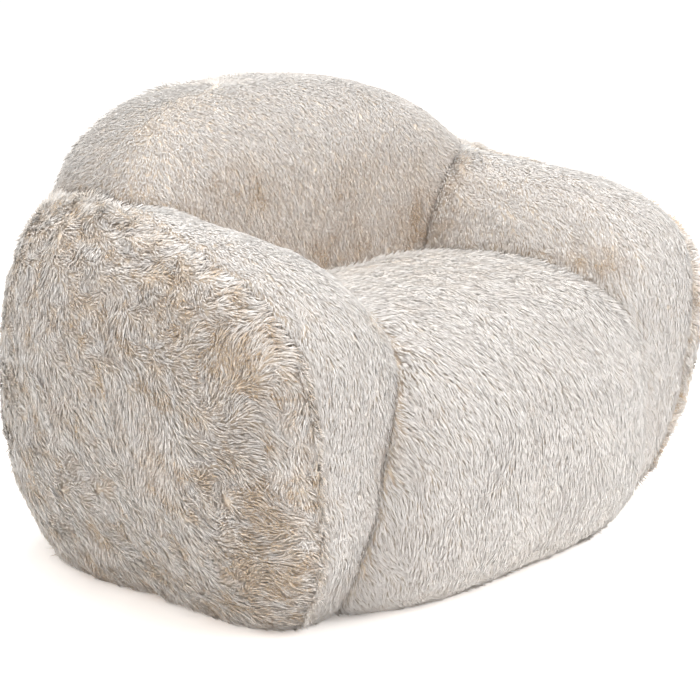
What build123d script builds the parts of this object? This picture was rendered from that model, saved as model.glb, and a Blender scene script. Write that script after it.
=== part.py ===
from build123d import *
import functools
import math
import os

# Bean bag armchair: two arms, a seat and a back, each one a sewn bag of beads in its own
# room of a furred cover, on a non-slip base with a zip let into it.
#
# Millimetres, +Z up.  The chair faces -Y.  Left is -X, as seen by someone who stands in
# front of it.  The origin is on the floor, under the middle of the chair.
#
# Each of the four soft forms is a loft through rounded sections, and each layer of it is
# the same form with a larger inset.  Arms are whole, the back stops at the arms, and the
# seat stops at the arms and the back.

# ---------------------------------------------------------------- fabrics
FUR = 16.0                # pile and backing of the outer cover
WALL = 5.0                # doubled lining where two forms of the cover meet
BASE = 2.0                # non-slip base fabric
SLACK = 3.0               # ease of a bead bag in its cover
REST = 0.3                # under a bead bag that lies on the base
SEAM_LAP = 2.0            # edge of the base into the fur
SEAM_GAP = 0.8            # round the edge of the base

# ---------------------------------------------------------------- arms (the right one)
ARM_X = 386.0             # middle of the arm
ARM_Y = 12.0
ARM_Z = 356.0             # level of its greatest width
ARM_HALF_WIDTH = 190.0
ARM_HALF_LENGTH = 369.0
ARM_RISE = 233.0          # greatest width up to the crown
ARM_DROP = 424.0          # greatest width down to the full round bottom, under the floor
ARM_CROWN_CLIMB = 16.0    # rise of the crown from the middle to either end
ARM_REAR_RISE = 85.0      # further rise towards the rear end
ARM_SPLAY = 20.0          # front end outwards
ARM_TUCK = 13.0           # rear end inwards
ARM_LEAN = 0.047          # outward lean of the upright section
ARM_REAR_LEAN = -0.126    # further lean at the rear end
ARM_PROFILE_POWER = 3.0   # roundness of the ends, seen from the side
ARM_FRONT_POWER = 3.8     # roundness of the front end, seen from above
ARM_REAR_POWER = 2.9
ARM_SECTION_POWER = 2.05

# ---------------------------------------------------------------- seat
SEAT_Y = -75.0
SEAT_Z = 191.0
SEAT_HALF_WIDTH = 414.0
SEAT_HALF_LENGTH = 352.0
SEAT_RISE = 271.0
SEAT_DROP = 259.0
SEAT_FALL = 33.0          # fall of the seat from its middle to its rear end
SEAT_PROFILE_POWER = 2.47
SEAT_PLAN_POWER = 3.0
SEAT_SECTION_POWER = 3.77

# ---------------------------------------------------------------- back
BACK_Y = 288.0
BACK_Z = 290.0
BACK_HALF_WIDTH = 490.0
BACK_HALF_DEPTH = 243.0
BACK_RISE = 456.0
BACK_DROP = 370.0         # under the floor, as for the arms
BACK_WRAP = 118.0         # both sides forward of the middle
BACK_OUTLINE_POWER = 2.75
BACK_PLAN_POWER = 2.33
BACK_SECTION_POWER = 2.79

# ---------------------------------------------------------------- seams of the cover
SIDE_SEAM_FRONT = (420.0, -450.0)    # plan of the arm's side seam at floor level
SIDE_SEAM_MIDDLE = (355.0, 0.0)
SIDE_SEAM_REAR = (191.0, 400.0)
SIDE_SEAM_LEAN = 0.15                # outwards for each millimetre of height
BACK_SEAM_SETBACK = 60.0             # behind the middle of the back

# ---------------------------------------------------------------- zip
ZIP_Y = -70.0             # line of the zip under the seat
CHAIN_LENGTH = 448.0
CHAIN_Z = 13.0            # middle of the chain above the floor
TOOTH_PITCH = 7.0         # from tooth to tooth on one tape
TOOTH_THICKNESS = 3.0
TOOTH_HEAD_WIDTH = 3.6
TOOTH_HEAD_REACH = 1.2    # past the line where the tapes meet
TOOTH_LEG_WIDTH = 4.0
TOOTH_LEG_REACH = 4.6     # back onto the tape
TOOTH_PLAY = 0.3          # between a tooth and each neighbour
TAPE = 0.8
TAPE_SETBACK = 2.6        # tape edge to the line where the tapes meet
CHANNEL_WIDTH = 36.0      # recess that keeps the zip off the floor
CHANNEL_END = 16.0        # recess past each end of the chain
HEM_WIDTH = 8.0           # ledge that the tape is sewn to
STOP_LENGTH = 4.0
STOP_GAP = 0.3

# ---------------------------------------------------------------- zip slider and pull
SLIDER_LENGTH = 17.0
SLIDER_PLATE = 1.4
SLIDER_RAIL = 1.6
SLIDER_MOUTH = 2.6        # extra half width at the mouth
SLIDER_PLAY = 0.3         # around the chain
SLIDER_CORNER = 1.4
SLIDER_SLOT = 1.6         # height of the slot that the tape runs through
WEDGE_HALF_WIDTH = 2.0    # divider between the two rows of teeth
BRIDGE_LENGTH = 9.0
BRIDGE_HEIGHT = 4.2
BRIDGE_WIDTH = 2.8
BRIDGE_WINDOW = (5.0, 2.2)
BRIDGE_TOP_TAPER = 1.0
PULL_LENGTH = 36.0        # pivot to free end
PULL_THICKNESS = 1.8
PULL_BAR = 0.8            # radius of the bar in the bridge
PULL_EYE_LENGTH = 7.0
PULL_EYE_ARM = 2.3
PULL_PLAY = 0.3           # beside the bridge
PULL_END_WIDTH = 12.0
PULL_SLOT = (15.0, 5.0)

# ---------------------------------------------------------------- build settings
STATIONS = (-74, -40, 0, 40, 74)    # degrees towards the poles
SECTION_POINTS = 12
FAR = 2000.0              # past every outline


# ================================================================ soft forms
def taper(reach, power):
    """Share of the full size that is left at a reach of 0 (middle) to 1 (pole)."""
    return (1.0 - abs(reach) ** power) ** (1.0 / power)


def swell(value, power):
    """Sine or cosine squared up to the roundness of a section."""
    return math.copysign(abs(value) ** (2.0 / power), value)


def oval(power):
    """Points of a rounded section as (across, up), both from -1 to 1, from its side round."""
    turns = [2.0 * math.pi * step / SECTION_POINTS for step in range(SECTION_POINTS)]
    return [(swell(math.cos(turn), power), swell(math.sin(turn), power)) for turn in turns]


def arm_section(reach, inset):
    """Upright section of the right arm, at a reach from -1 (front) to 1 (rear)."""
    front = max(-reach, 0.0)
    rear = max(reach, 0.0)
    tall = taper(reach, ARM_PROFILE_POWER)
    wide = taper(reach, ARM_FRONT_POWER if reach < 0.0 else ARM_REAR_POWER)
    crown = ARM_RISE + ARM_CROWN_CLIMB * reach + ARM_REAR_RISE * rear ** 2 - inset
    shift = ARM_SPLAY * front ** 2 - ARM_TUCK * rear ** 2
    lean = ARM_LEAN + ARM_REAR_LEAN * rear
    points = []
    for across, up in oval(ARM_SECTION_POWER):
        rise = tall * up * (crown if up > 0.0 else ARM_DROP - inset)
        x = ARM_X + wide * across * (ARM_HALF_WIDTH - inset) + shift + lean * rise
        points.append(Vector(x, ARM_Y + reach * (ARM_HALF_LENGTH - inset), ARM_Z + rise))
    return points


def seat_section(reach, inset):
    """Upright section of the seat, at a reach from -1 (front) to 1 (rear)."""
    tall = taper(reach, SEAT_PROFILE_POWER)
    wide = taper(reach, SEAT_PLAN_POWER)
    crown = SEAT_RISE - SEAT_FALL * reach - inset
    points = []
    for across, up in oval(SEAT_SECTION_POWER):
        rise = tall * up * (crown if up > 0.0 else SEAT_DROP - inset)
        x = wide * across * (SEAT_HALF_WIDTH - inset)
        points.append(Vector(x, SEAT_Y + reach * (SEAT_HALF_LENGTH - inset), SEAT_Z + rise))
    return points


def back_section(reach, inset):
    """Fore-and-aft section of the back, at a reach from -1 (left) to 1 (right)."""
    tall = taper(reach, BACK_OUTLINE_POWER)
    deep = taper(reach, BACK_PLAN_POWER)
    points = []
    for across, up in oval(BACK_SECTION_POWER):
        rise = tall * up * ((BACK_RISE if up > 0.0 else BACK_DROP) - inset)
        y = BACK_Y + deep * across * (BACK_HALF_DEPTH - inset) - BACK_WRAP * reach ** 2
        points.append(Vector(reach * (BACK_HALF_WIDTH - inset), y, BACK_Z + rise))
    return points


def closed_outline(points):
    """One smooth curve round a section."""
    return Wire([Edge.make_spline(points, periodic=True)])


def paired_outline(points):
    """An upper and a lower curve that meet upright at both sides of a section."""
    half = SECTION_POINTS // 2
    up = Vector(0, 0, 1)
    upper = Edge.make_spline(points[:half + 1], tangents=[up, -up])
    lower = Edge.make_spline(points[half:] + points[:1], tangents=[-up, up])
    return Wire([upper, lower])


@functools.lru_cache(maxsize=None)
def form(section, inset):
    """Whole closed form, lofted from pole to pole through the sections at the stations."""
    outline = paired_outline if section is arm_section else closed_outline
    front, rear = (Vertex(section(reach, inset)[0]) for reach in (-1.0, 1.0))
    reaches = [math.sin(math.radians(angle)) for angle in STATIONS]
    return loft([front, *[Face(outline(section(reach, inset))) for reach in reaches], rear])


def grounded(shape, level):
    """The part of a shape that is above a level."""
    return shape - Pos(0, 0, level - FAR / 2) * Box(2 * FAR, 2 * FAR, FAR)


def mirrored(shape):
    """The left-hand copy of a right-hand shape."""
    return mirror(shape, about=Plane.YZ)


@functools.lru_cache(maxsize=None)
def arms(inset):
    """Both arms."""
    right = form(arm_section, inset)
    return Compound([right, mirrored(right)])


def arm_body(skin, wall):
    """Right arm at a depth under its fur; it has no shared wall."""
    return form(arm_section, skin)


def back_body(skin, wall):
    """Back at a depth under its fur and behind its walls with the arms."""
    return form(back_section, skin) - arms(-SLACK - wall)


def seat_body(skin, wall):
    """Seat at a depth under its fur and behind its walls with the arms and the back."""
    return form(seat_section, skin) - arms(-SLACK - wall) - form(back_section, -SLACK - wall)


@functools.lru_cache(maxsize=None)
def footprint(inset, height):
    """Block of a height on the floor, under all four forms at an inset."""
    plan = arms(inset) + form(seat_section, inset) + form(back_section, inset)
    return plan & Pos(0, 0, height / 2) * Box(2 * FAR, 2 * FAR, height)


# ================================================================ fur cover
def cover(body):
    """Fur and walls of one form, open at the floor and rebated for the edge of the base."""
    shell = grounded(body(0.0, 0.0), 0.0) - body(FUR, WALL)
    return shell - footprint(FUR - SEAM_LAP, BASE + REST)


def outside_of_seam():
    """Everything outside the side seam of the right arm."""
    front = SIDE_SEAM_FRONT
    rear = SIDE_SEAM_REAR
    seam = ThreePointArc(front, SIDE_SEAM_MIDDLE, rear)
    edge = Polyline(rear, (rear[0], FAR), (FAR, FAR), (FAR, -FAR), (front[0], -FAR), front)
    return extrude(make_face([seam, edge]), amount=FAR, dir=(SIDE_SEAM_LEAN, 0, 1))


def arm_covers():
    """Side panel and band of the right arm."""
    fur = cover(arm_body)
    outside = outside_of_seam()
    return fur & outside, fur - outside


def back_covers():
    """Inner and outer panels of the back, which meet behind its top edge."""
    fur = cover(back_body)
    behind = Pos(0, BACK_Y + BACK_SEAM_SETBACK + FAR / 2, 0) * Box(2 * FAR, FAR, 2 * FAR)
    return fur - behind, fur & behind


# ================================================================ bead bags
def channel_block():
    """The space that the zip and its hem take out of the seat's bag."""
    slider_top = CHAIN_Z + TOOTH_THICKNESS / 2 + SLIDER_PLAY + SLIDER_PLATE
    top = slider_top + BASE / 2 + REST
    length = CHAIN_LENGTH + 2 * (CHANNEL_END + BASE + 2 * REST)
    width = CHANNEL_WIDTH + 2 * (BASE + 2 * REST)
    return Pos(0, ZIP_Y, top / 2) * Box(length, width, top)


def bead_bag(body):
    """Full bag of one form, which lies on the base with ease all round."""
    bag = grounded(body(FUR + SLACK, WALL + SLACK), BASE + REST)
    return bag - channel_block() if body is seat_body else bag


# ================================================================ base
def base_panels():
    """Front and rear halves of the base, with a hemmed recess for the zip between them."""
    length = CHAIN_LENGTH + 2 * CHANNEL_END
    hem_top = CHAIN_Z - TAPE / 2
    well = Pos(0, ZIP_Y, hem_top / 2) * Box(length + 2 * BASE, CHANNEL_WIDTH + 2 * BASE, hem_top)
    hollow = Pos(0, ZIP_Y, (hem_top - BASE) / 2) * Box(length, CHANNEL_WIDTH, hem_top - BASE)
    mouth = Pos(0, ZIP_Y, CHAIN_Z / 2)
    mouth = mouth * Box(length - 2 * HEM_WIDTH, CHANNEL_WIDTH - 2 * HEM_WIDTH, CHAIN_Z)
    base = footprint(FUR - SEAM_LAP + SEAM_GAP, BASE) + well - hollow - mouth
    front_half = Pos(0, ZIP_Y - FAR / 2, 0) * Box(2 * FAR, FAR, FAR)
    return base & front_half, base - front_half


# ================================================================ zip chain
def tooth_outline():
    """One tooth of the front tape, seen from above, with its head towards +Y."""
    neck = TOOTH_PITCH - 2 * TOOTH_PLAY - TOOTH_HEAD_WIDTH
    right = [
        (TOOTH_LEG_WIDTH / 2, -TOOTH_LEG_REACH),
        (neck / 2, -TOOTH_HEAD_REACH),
        (TOOTH_HEAD_WIDTH / 2, TOOTH_HEAD_REACH),
    ]
    left = [(-x, y) for x, y in reversed(right)]
    return make_face(Polyline(*right, *left, close=True))


def tooth_row(side):
    """Row of teeth on the front (-1) or rear (1) tape, set half a pitch apart."""
    tooth = extrude(tooth_outline(), amount=TOOTH_THICKNESS / 2, both=True)
    if side > 0:
        tooth = Rot(0, 0, 180) * tooth
    first = -CHAIN_LENGTH / 2 + TOOTH_PITCH / 2 + side * TOOTH_PITCH / 4
    count = int(CHAIN_LENGTH / TOOTH_PITCH)
    return [Pos(first + index * TOOTH_PITCH, ZIP_Y, CHAIN_Z) * tooth for index in range(count)]


def tape(side, teeth):
    """Woven tape, notched where its teeth and stops are moulded through it."""
    outer = CHANNEL_WIDTH / 2 + BASE
    middle = (outer + TAPE_SETBACK) / 2
    length = CHAIN_LENGTH + 2 * (CHANNEL_END + BASE)
    strip = Pos(0, ZIP_Y + side * middle, CHAIN_Z) * Box(length, outer - TAPE_SETBACK, TAPE)
    return strip - Compound(teeth)


def top_stops():
    """A moulded stop on each tape, past the last teeth."""
    place = CHAIN_LENGTH / 2 + STOP_GAP + STOP_LENGTH / 2
    width = TOOTH_LEG_REACH - TAPE_SETBACK
    stop = Box(STOP_LENGTH, width, TOOTH_THICKNESS)
    middle = TAPE_SETBACK + width / 2
    return [Pos(place, ZIP_Y + side * middle, CHAIN_Z) * stop for side in (-1, 1)]


def bottom_stop():
    """Block across both tapes, before the first teeth."""
    place = -CHAIN_LENGTH / 2 - STOP_GAP - STOP_LENGTH / 2
    return Pos(place, ZIP_Y, CHAIN_Z) * Box(STOP_LENGTH, 2 * TOOTH_LEG_REACH, TOOTH_THICKNESS)


# ================================================================ slider and pull
# Both are drawn about the slider's middle, with the mouth towards +X and the outside of
# the chair down, and then set at the closed end of the chain.
CHAMBER_HEIGHT = TOOTH_THICKNESS + 2 * SLIDER_PLAY
CHAMBER_HALF_WIDTH = TOOTH_LEG_REACH + SLIDER_PLAY
SLIDER_FACE = CHAMBER_HEIGHT / 2 + SLIDER_PLATE
PIVOT_DROP = SLIDER_FACE + BRIDGE_WINDOW[1] / 2 + (BRIDGE_HEIGHT - BRIDGE_WINDOW[1]) / 2
WEDGE_TIP = 1.0
SLIDER_X = CHAIN_LENGTH / 2 - WEDGE_TIP


def slider_plan(half_width, extension):
    """Plan of the slider: parallel at the tail, flared at the mouth."""
    tail = -SLIDER_LENGTH / 2 - extension
    mouth = SLIDER_LENGTH / 2 + extension
    shoulder = SLIDER_LENGTH / 4
    upper = [(tail, half_width), (0, half_width), (shoulder, half_width + SLIDER_MOUTH)]
    upper.append((mouth, half_width + SLIDER_MOUTH))
    lower = [(x, -y) for x, y in reversed(upper)]
    return make_face(Polyline(*upper, *lower, close=True))


def slider_body():
    """Two plates with turned-in rails, joined by the wedge at the mouth."""
    plan = slider_plan(CHAMBER_HALF_WIDTH + SLIDER_RAIL, 0.0)
    block = extrude(plan, amount=SLIDER_FACE, both=True)
    block = fillet(block.edges().filter_by(Axis.Z), SLIDER_CORNER)
    chamber = extrude(slider_plan(CHAMBER_HALF_WIDTH, 1.0), amount=CHAMBER_HEIGHT / 2, both=True)
    slot = Box(2 * SLIDER_LENGTH, 4 * CHAMBER_HALF_WIDTH, SLIDER_SLOT)
    return block - chamber - slot + wedge() + bridge()


def wedge():
    """Divider that parts the two rows of teeth."""
    widest = SLIDER_LENGTH * 0.3
    end = SLIDER_LENGTH / 2
    upper = [(WEDGE_TIP, 0), (widest, WEDGE_HALF_WIDTH), (end, WEDGE_HALF_WIDTH * 0.8)]
    lower = [(x, -y) for x, y in reversed(upper[1:])]
    plan = make_face(Polyline(*upper, *lower, close=True))
    return extrude(plan, amount=CHAMBER_HEIGHT / 2, both=True)


def bridge():
    """Arch under the outer plate, which holds the bar of the pull."""
    half = BRIDGE_LENGTH / 2
    root = -SLIDER_FACE
    tip = root - BRIDGE_HEIGHT
    crown = half - BRIDGE_TOP_TAPER
    outline = Polyline((-half, root), (-crown, tip), (crown, tip), (half, root), close=True)
    window = Pos(0, -PIVOT_DROP) * SlotOverall(*BRIDGE_WINDOW)
    side = Plane.XZ * (make_face(outline) - window)
    return extrude(side, amount=BRIDGE_WIDTH / 2, both=True)


def pull_tab():
    """Flat tab that lies along the chain, hung by its bar in the bridge."""
    eye_width = BRIDGE_WIDTH + 2 * PULL_PLAY
    half = eye_width / 2 + PULL_EYE_ARM
    end = PULL_END_WIDTH / 2
    upper = [(0, half), (-PULL_EYE_LENGTH - PULL_EYE_ARM, half), (-PULL_LENGTH + end, end)]
    lower = [(x, -y) for x, y in reversed(upper)]
    outline = [Polyline(*upper), Polyline(*lower), Line((0, -half), (0, half))]
    outline.append(ThreePointArc(upper[-1], (-PULL_LENGTH, 0), lower[0]))
    eye = Pos(-PULL_EYE_LENGTH / 2, 0) * Rectangle(PULL_EYE_LENGTH, eye_width)
    grip = Pos(-PULL_LENGTH + end + PULL_SLOT[0] / 3, 0) * SlotOverall(*PULL_SLOT)
    plate = extrude(make_face(outline) - eye - grip, amount=PULL_THICKNESS / 2, both=True)
    bar = Rot(90, 0, 0) * Cylinder(PULL_BAR, 2 * half)
    return Pos(0, 0, -PIVOT_DROP) * (plate + bar)


def at_slider(shape):
    return Pos(SLIDER_X, ZIP_Y, CHAIN_Z) * shape


# ================================================================ output
def solids_of(shape):
    """A single solid, or a compound of the separate solids."""
    items = shape if isinstance(shape, list) else [shape]
    solids = [solid for item in items for solid in item.solids()]
    return solids[0] if len(solids) == 1 else Compound(solids)


def save(name, shape):
    export_step(solids_of(shape), f"parts/{name}.step")


def main():
    os.makedirs("parts", exist_ok=True)

    side_panel, band = arm_covers()
    right_arm = {
        "arm_side_panel": side_panel,
        "arm_band": band,
        "arm_bead_bag": bead_bag(arm_body),
    }
    for name, shape in right_arm.items():
        save(f"right_{name}", shape)
        save(f"left_{name}", mirrored(shape))

    save("seat_panel", cover(seat_body))
    inner, outer = back_covers()
    save("inner_back_panel", inner)
    save("outer_back_panel", outer)
    save("seat_bead_bag", bead_bag(seat_body))
    save("back_bead_bag", bead_bag(back_body))

    front, rear = base_panels()
    save("base_front_panel", front)
    save("base_rear_panel", rear)
    for name, side in (("front", -1), ("rear", 1)):
        teeth = tooth_row(side)
        save(f"zip_{name}_teeth", teeth)
        save(f"zip_{name}_tape", tape(side, teeth + top_stops() + [bottom_stop()]))
    save("zip_top_stops", top_stops())
    save("zip_bottom_stop", bottom_stop())
    save("zip_slider", at_slider(slider_body()))
    save("zip_pull_tab", at_slider(pull_tab()))


main()
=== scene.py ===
"""Looks of the faux-fur bean bag armchair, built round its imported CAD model.

Four bead bags in plush covers make the chair: two arms, a seat and a back. Each cover is a closed
padded body that follows its bag's form, carrying a pile of combed locks. Metres throughout.
"""

from __future__ import annotations

import logging
import math
from collections.abc import Callable
from dataclasses import dataclass, field
from enum import Enum
from functools import partial

import bpy
import numpy as np
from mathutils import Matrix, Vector

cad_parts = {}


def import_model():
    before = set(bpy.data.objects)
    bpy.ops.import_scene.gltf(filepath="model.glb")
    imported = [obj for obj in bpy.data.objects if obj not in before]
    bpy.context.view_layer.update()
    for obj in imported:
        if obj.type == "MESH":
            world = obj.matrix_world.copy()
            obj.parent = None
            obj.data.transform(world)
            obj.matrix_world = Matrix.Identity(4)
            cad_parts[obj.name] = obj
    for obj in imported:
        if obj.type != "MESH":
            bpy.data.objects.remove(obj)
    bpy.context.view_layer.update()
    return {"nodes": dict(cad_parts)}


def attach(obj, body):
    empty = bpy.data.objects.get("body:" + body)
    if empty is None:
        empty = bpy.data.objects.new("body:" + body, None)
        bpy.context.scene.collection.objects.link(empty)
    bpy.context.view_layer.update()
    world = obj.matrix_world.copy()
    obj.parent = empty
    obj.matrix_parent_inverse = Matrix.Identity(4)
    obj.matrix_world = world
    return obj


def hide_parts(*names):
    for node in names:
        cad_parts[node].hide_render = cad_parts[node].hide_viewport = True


log = logging.getLogger("bean_bag")

MM = 0.001
BODY_INSET = 8 * MM  # the woven backing lies this deep under the tips of the pile
NEIGHBOUR_GAP = 2.5 * MM  # two covers' backings stay this far apart where they touch
FLOOR_REST = 2.6 * MM  # the covers' undersides rest on the base panels
BASE_INSET = 16 * MM  # the base panels' edge lies this far inside the forms' outer surface
BASE_CORNER = (290 * MM, 123 * MM)  # where the arm, the seat and the back meet on the base
ZIP_LINE = -70 * MM  # the zip runs along x at this y
ZIP_ROOM = (262 * MM, 34 * MM, 24 * MM)  # half length, half width and height kept free over it
COVERED_DEPTH = 22 * MM  # pile this deep inside a neighbour is left off
SEAM_TURN = 7 * MM  # the pile goes this far over a seam's edge
BASE_REACH = 30 * MM  # pile lower than this is left off over the base panels
CORNER_ROOM = 22 * MM  # pile this near a corner of the base is left off
SPLIT_VALLEY = (6 * MM, 12 * MM)  # depth and width of the seam over the back
SEAM_CROWDING = (0.7, 14 * MM)  # how far the pile is crowded at a seam, and how wide
CROWDED_REACHES = (4 * MM, 30 * MM)  # pile this near a neighbour stands up
CROWDED_LIFT = 0.45  # how far crowded pile stands up, in radians
PILE_FLOOR = 0.6 * MM  # no lock reaches lower than this
PAPER_DROP = 0.5 * MM  # the paper lies this far under the base, clear of its underside
SEAT_CORE = -0.2  # the y towards which the seat moves out of its neighbours
BACK_CORE = 0.33  # the same for the back
DRAWN_OUT = 0.55  # how far patterns in the coat are drawn out along the combing
UNDERCOAT_AND_SHADE_SHARES = (0.6, 1.5)  # how much tan shows everywhere, and more in the dips between clumps: there partly roots showing, partly painted shade
STREAK_BASE = 0.6  # how much of it shows between the streaks
FLECKS = (0.01, 0.62, 7)  # size, limit and step from the seed of the undercoat's flecks
LOCK_LENGTHS = (0.62, 1.2, 7)  # shortest and longest lock against the usual, and the seed
LOCK_WIDTHS = (0.6, 1.25, 8)  # the same across
CELL_SPARE = 1.05  # cells on the flat map for each lock expected
BAG_OVER_ZIP = 6 * MM  # the seat's bag lies this far above its cover over the zip
BACKING_STRIP = (1.0, 0.24)  # the part of the flat map that a backing takes
CELL_FILL = (0.84, 0.84, 0.0)  # how much of its cell on the flat map a lock fills

THIN = 1e-6  # keeps divisions defined at a form's ends
HALVINGS = 16  # how often the way out of a neighbour is halved
NOISE_SIDE = 32  # the noise repeats after this many cells
NOISE_SHIFT = 1.37  # how many cells apart the patterns of two seeds start
SLOPE_STEP = 0.15  # the slope of a pattern is taken over this share of its size each way
POLE_POWER = 2.6  # how closely a closed grid's rows stand near its poles

# Noise patterns in layers: height, size in metres and step from the seed of each.
SWELLS = ((3.2 * MM, 0.15, 0), (1.6 * MM, 0.06, 20))  # the bag's soft lumps
CLUMPS = ((0.65, 0.024, 21), (0.45, 0.013, 22))  # the coat's high and low clumps
WANDERING = ((1.2, 0.10, 0), (1.0, 0.03, 1))  # how the combing turns
GATHERS = ((1.0, 0.026, 2), (0.7, 0.013, 3))  # what the locks gather towards
LIFTS = ((0.45, 0.03, 4),)  # how unevenly the pile lifts
STREAKS = ((0.7, 0.012, 5), (0.2, 0.05, 6))  # where the undercoat shows more

Tree = bpy.types.NodeTree
Socket = bpy.types.NodeSocket
Sockets = dict[str | int, object]
Layers = tuple[tuple[float, float, int], ...]


class Side(Enum):
    """Which arm a piece belongs to, by the sign of its x."""

    LEFT = -1
    RIGHT = 1


class Panel(Enum):
    """The two cut panels of an arm's cover."""

    OUTER = "side"
    BAND = "band"


# ---------------------------------------------------------------- numbers and noise


def curved(value: np.ndarray, power: float) -> np.ndarray:
    """Gives the radius at which a direction meets a superellipse.

    Args:
        value: Angles in radians.
        power: The superellipse's power, 2 for a circle and more for a squarer one.

    Returns:
        The distance from the centre for each angle.
    """
    return (np.abs(np.cos(value)) ** power + np.abs(np.sin(value)) ** power) ** (-1 / power)


def section(around: np.ndarray, power: float) -> tuple[np.ndarray, np.ndarray]:
    """Gives how far across and up a superellipse of size one goes at each angle."""
    radius = curved(around, power)
    return radius * np.cos(around), radius * np.sin(around)


def enclosed(reach: np.ndarray, across: np.ndarray, up: np.ndarray, power: float) -> np.ndarray:
    """Tells which places lie inside a form, by their shares of its reach and its section."""
    return (np.abs(reach) < 1) & (across**power + up**power < 1)


def taper(reach: np.ndarray, power: float) -> np.ndarray:
    """Gives how much of its full section a form keeps at a reach along its length.

    Args:
        reach: Places along the form, −1 to 1.
        power: The profile's power.

    Returns:
        Shares from 0 at the ends to 1 in the middle.
    """
    return np.maximum(1 - np.abs(reach) ** power, 0) ** (1 / power)


def soft_noise(points: np.ndarray, size: float, seed: int) -> np.ndarray:
    """Gives smooth random values that change over about a given distance.

    Args:
        points: Places, one row each.
        size: The distance between one high and the next low, in metres.
        seed: Which pattern.

    Returns:
        One value a point, between −1 and 1.
    """
    values = np.random.default_rng(seed).uniform(-1, 1, (NOISE_SIDE,) * 3)
    place = points / size + seed * NOISE_SHIFT
    cell = np.floor(place).astype(int)
    part = place - cell
    part = part * part * (3 - 2 * part)
    total = np.zeros(len(points))
    for corner in range(8):
        step = np.array([corner & 1, corner >> 1 & 1, corner >> 2 & 1])
        at = (cell + step) % NOISE_SIDE
        weight = np.prod(np.where(step == 1, part, 1 - part), axis=1)
        total += weight * values[at[:, 0], at[:, 1], at[:, 2]]
    return total


def layered(points: np.ndarray, layers: Layers, seed: int) -> np.ndarray:
    """Adds up noise patterns.

    Args:
        points: Places, one row each.
        layers: Each pattern's height, size in metres and step from the seed.
        seed: Which set of patterns.

    Returns:
        One value a point.
    """
    return sum(height * soft_noise(points, size, seed + step) for height, size, step in layers)


def beside(off: np.ndarray, width: float) -> np.ndarray:
    """Gives 1 on a line or at a point, falling to 0 beside it over about the width."""
    return np.exp(-((off / width) ** 2))


def unit(vectors: np.ndarray) -> np.ndarray:
    """Scales each row to length one."""
    return vectors / np.maximum(np.linalg.norm(vectors, axis=1, keepdims=True), 1e-9)


def laid_flat(vectors: np.ndarray, normals: np.ndarray) -> np.ndarray:
    """Turns directions into the surface they stand on.

    Args:
        vectors: Directions, one row each.
        normals: The surface's outward directions there.

    Returns:
        Unit directions along the surface.
    """
    return unit(vectors - normals * np.sum(vectors * normals, axis=1, keepdims=True))


def downhill(points: np.ndarray, normals: np.ndarray, size: float, seed: int) -> np.ndarray:
    """Gives the way a noise pattern falls along a surface, which gathers pile into clumps.

    Args:
        points: Places on the surface.
        normals: The surface's outward directions there.
        size: The pattern's size in metres.
        seed: Which pattern.

    Returns:
        A direction for each point, longer where the pattern is steeper.
    """
    step = size * SLOPE_STEP
    slopes = np.stack(
        [
            soft_noise(points + move, size, seed) - soft_noise(points - move, size, seed)
            for move in step * np.eye(3)
        ],
        axis=1,
    )
    flat = slopes - normals * np.sum(slopes * normals, axis=1, keepdims=True)
    return -flat / (2 * SLOPE_STEP)


def pulled_clear(
    points: np.ndarray, inside: Callable[[np.ndarray], np.ndarray], core: np.ndarray
) -> tuple[np.ndarray, np.ndarray]:
    """Moves points out of a neighbour, each along the line to its own core point.

    Args:
        points: Places to test and move.
        inside: Tells which places the neighbour fills.
        core: Where each point may move to, outside the neighbour.

    Returns:
        The new places, and which points moved.
    """
    held = inside(points)
    near, far = np.zeros(len(points)), np.ones(len(points))
    for _ in range(HALVINGS):
        middle = (near + far) / 2
        still = inside(points + middle[:, None] * (core - points))
        near, far = np.where(still, middle, near), np.where(still, far, middle)
    moved = points + far[:, None] * (core - points)
    return np.where(held[:, None], moved, points), held


# ---------------------------------------------------------------- the bags' forms


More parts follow.
